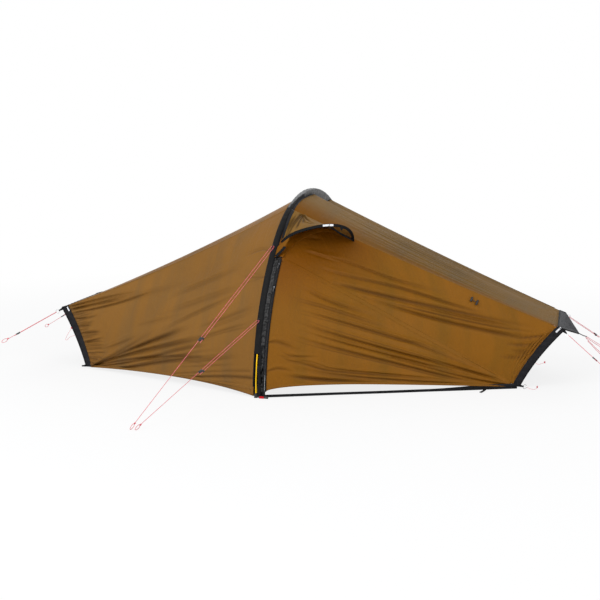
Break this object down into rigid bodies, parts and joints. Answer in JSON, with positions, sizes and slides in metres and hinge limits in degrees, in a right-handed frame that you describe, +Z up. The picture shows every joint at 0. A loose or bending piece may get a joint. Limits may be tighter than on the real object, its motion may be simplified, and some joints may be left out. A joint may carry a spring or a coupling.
{
  "type": "one-person tent",
  "caption": "Single-hoop one-person tent, pitched, with raised end bands, a zipped side door under a hood, hung inner tent and taut guy lines.",
  "frame": {"origin": "on the ground under the middle of the hoop, on the underside of the groundsheet", "axes": "+X along the ridge towards the head end, -Y towards the door, +Z up"},
  "size_m": [3.4705, 2.3604, 1.0059],
  "materials": {
    "ripstop_nylon": "brown coated ripstop, satin",
    "black_webbing": "black webbing and binding, matt",
    "grey_nylon": "grey coated nylon, satin",
    "cream_nylon": "thin uncoated nylon, matt",
    "dark_mesh": "fine dark netting",
    "gold_alloy": "gold anodised tube, satin",
    "steel": "bright plated steel",
    "black_acetal": "moulded black, matt",
    "pink_cord": "braided cord, red flecked with white",
    "black_cord": "covered elastic cord"
  },
  "bodies": {
    "tent": {"pole": "gold_alloy", "shock_cord": "black_cord", "pole_sleeve": "grey_nylon", "front_foot_cup": "black_acetal", "back_foot_cup": "black_acetal", "front_foot_strap": "black_webbing", "back_foot_strap": "black_webbing", "foot_front_panel": "ripstop_nylon", "foot_back_panel": "ripstop_nylon", "head_back_panel": "ripstop_nylon", "head_front_panel": "ripstop_nylon", "foot_roof_panel": "ripstop_nylon", "head_roof_panel": "ripstop_nylon", "foot_front_band": "black_webbing", "foot_back_band": "black_webbing", "head_front_band": "black_webbing", "head_back_band": "black_webbing", "foot_mesh_wall": "dark_mesh", "head_mesh_wall": "dark_mesh", "foot_visor": "grey_nylon", "head_visor": "grey_nylon", "door_surround": "black_webbing", "frame_zip_chain": "black_acetal", "hood_canopy": "ripstop_nylon", "hood_rim": "black_webbing", "head_front_peg_ring": "steel", "head_back_peg_ring": "steel", "foot_front_guy_ring": "steel", "foot_back_guy_ring": "steel", "head_front_guy_ring": "steel", "head_back_guy_ring": "steel", "ground_strap": "black_webbing", "front_upper_guy_line": "pink_cord", "front_lower_guy_line": "pink_cord", "foot_front_guy_line": "pink_cord", "foot_back_guy_line": "pink_cord", "head_front_guy_line": "pink_cord", "head_back_guy_line": "pink_cord", "visor_line": "pink_cord", "inner_floor": "grey_nylon", "inner_canopy": "cream_nylon", "inner_walls": "cream_nylon", "inner_hanger_tape": "black_webbing"},
    "door": {"door_panel": "ripstop_nylon", "door_zip_chain": "black_acetal"},
    "upper_slider": {"upper_zip_slider": "steel"},
    "upper_pull": {"upper_zip_pull": "black_acetal"},
    "lower_slider": {"lower_zip_slider": "steel"},
    "lower_pull": {"lower_zip_pull": "black_acetal"},
    "inner_door": {"inner_door": "cream_nylon"},
    "inner_slider": {"inner_zip_slider": "steel"},
    "tie_toggle": {"door_tie_toggle": "black_acetal"},
    "front_buckle": {"front_foot_buckle": "black_acetal"},
    "back_buckle": {"back_foot_buckle": "black_acetal"},
    "front_upper_runner": {"front_upper_runner": "black_acetal"},
    "front_lower_runner": {"front_lower_runner": "black_acetal"},
    "foot_front_runner": {"foot_front_runner": "black_acetal"},
    "foot_back_runner": {"foot_back_runner": "black_acetal"},
    "head_front_runner": {"head_front_runner": "black_acetal"},
    "head_back_runner": {"head_back_runner": "black_acetal"}
  },
  "joints": [
    {"name": "door_swing", "type": "hinge", "parent": "tent", "child": "door", "pos_m": [1.14221, -0.31481, 0.02466], "axis": [-0.854, -0.1924, 0.4833], "range_deg": [0, 110]},
    {"name": "upper_slider_travel", "type": "hinge", "parent": "door", "child": "upper_slider", "pos_m": [0.04734, 0.33265, 0], "axis": [0.99, -0.1409, 0], "range_deg": [-1.5, 4.5]},
    {"name": "upper_pull_swing", "type": "hinge", "parent": "upper_slider", "child": "upper_pull", "pos_m": [-0.0395, -0.60759, 0.66036], "axis": [-0.99, 0.1409, 0], "range_deg": [0, 150]},
    {"name": "lower_slider_travel", "type": "hinge", "parent": "door", "child": "lower_slider", "pos_m": [0.04734, 0.33265, 0], "axis": [0.99, -0.1409, 0], "range_deg": [0, 26]},
    {"name": "lower_pull_swing", "type": "hinge", "parent": "lower_slider", "child": "lower_pull", "pos_m": [-0.04918, -0.67559, 0.54935], "axis": [-0.99, 0.1409, 0], "range_deg": [0, 150]},
    {"name": "inner_door_swing", "type": "hinge", "parent": "tent", "child": "inner_door", "pos_m": [0.06121, -0.27427, 0.11897], "axis": [-0.0434, 0.0345, 0.9985], "range_deg": [0, 90]},
    {"name": "inner_slider_travel", "type": "slide", "parent": "tent", "child": "inner_slider", "axis": [-0.0336, 0.0495, 0.9982], "range_m": [-0.1, 0.24]},
    {"name": "tie_toggle_swing", "type": "hinge", "parent": "tent", "child": "tie_toggle", "pos_m": [0.92663, -0.30616, 0.47488], "axis": [-0.9215, -0.0375, 0.3866], "range_deg": [0, 120]},
    {"name": "front_buckle_travel", "type": "slide", "parent": "tent", "child": "front_buckle", "axis": [0.0164, 0.1151, 0.9932], "range_m": [-0.02, 0.04]},
    {"name": "back_buckle_travel", "type": "slide", "parent": "tent", "child": "back_buckle", "axis": [-0.0164, -0.115, 0.9932], "range_m": [-0.02, 0.04]},
    {"name": "front_upper_runner_travel", "type": "slide", "parent": "tent", "child": "front_upper_runner", "axis": [0.322, 0.7633, 0.5601], "range_m": [0, 0.66]},
    {"name": "front_lower_runner_travel", "type": "slide", "parent": "tent", "child": "front_lower_runner", "axis": [0.3853, 0.8333, 0.3964], "range_m": [0, 0.43]},
    {"name": "foot_front_runner_travel", "type": "slide", "parent": "tent", "child": "foot_front_runner", "axis": [0.6943, 0.5826, 0.4226], "range_m": [0, 0.2]},
    {"name": "foot_back_runner_travel", "type": "slide", "parent": "tent", "child": "foot_back_runner", "axis": [0.7784, -0.4494, 0.4384], "range_m": [0, 0.3]},
    {"name": "head_front_runner_travel", "type": "slide", "parent": "tent", "child": "head_front_runner", "axis": [-0.67, 0.5622, 0.4848], "range_m": [0, 0.155]},
    {"name": "head_back_runner_travel", "type": "slide", "parent": "tent", "child": "head_back_runner", "axis": [-0.6566, -0.551, 0.515], "range_m": [0, 0.185]}
  ]
}
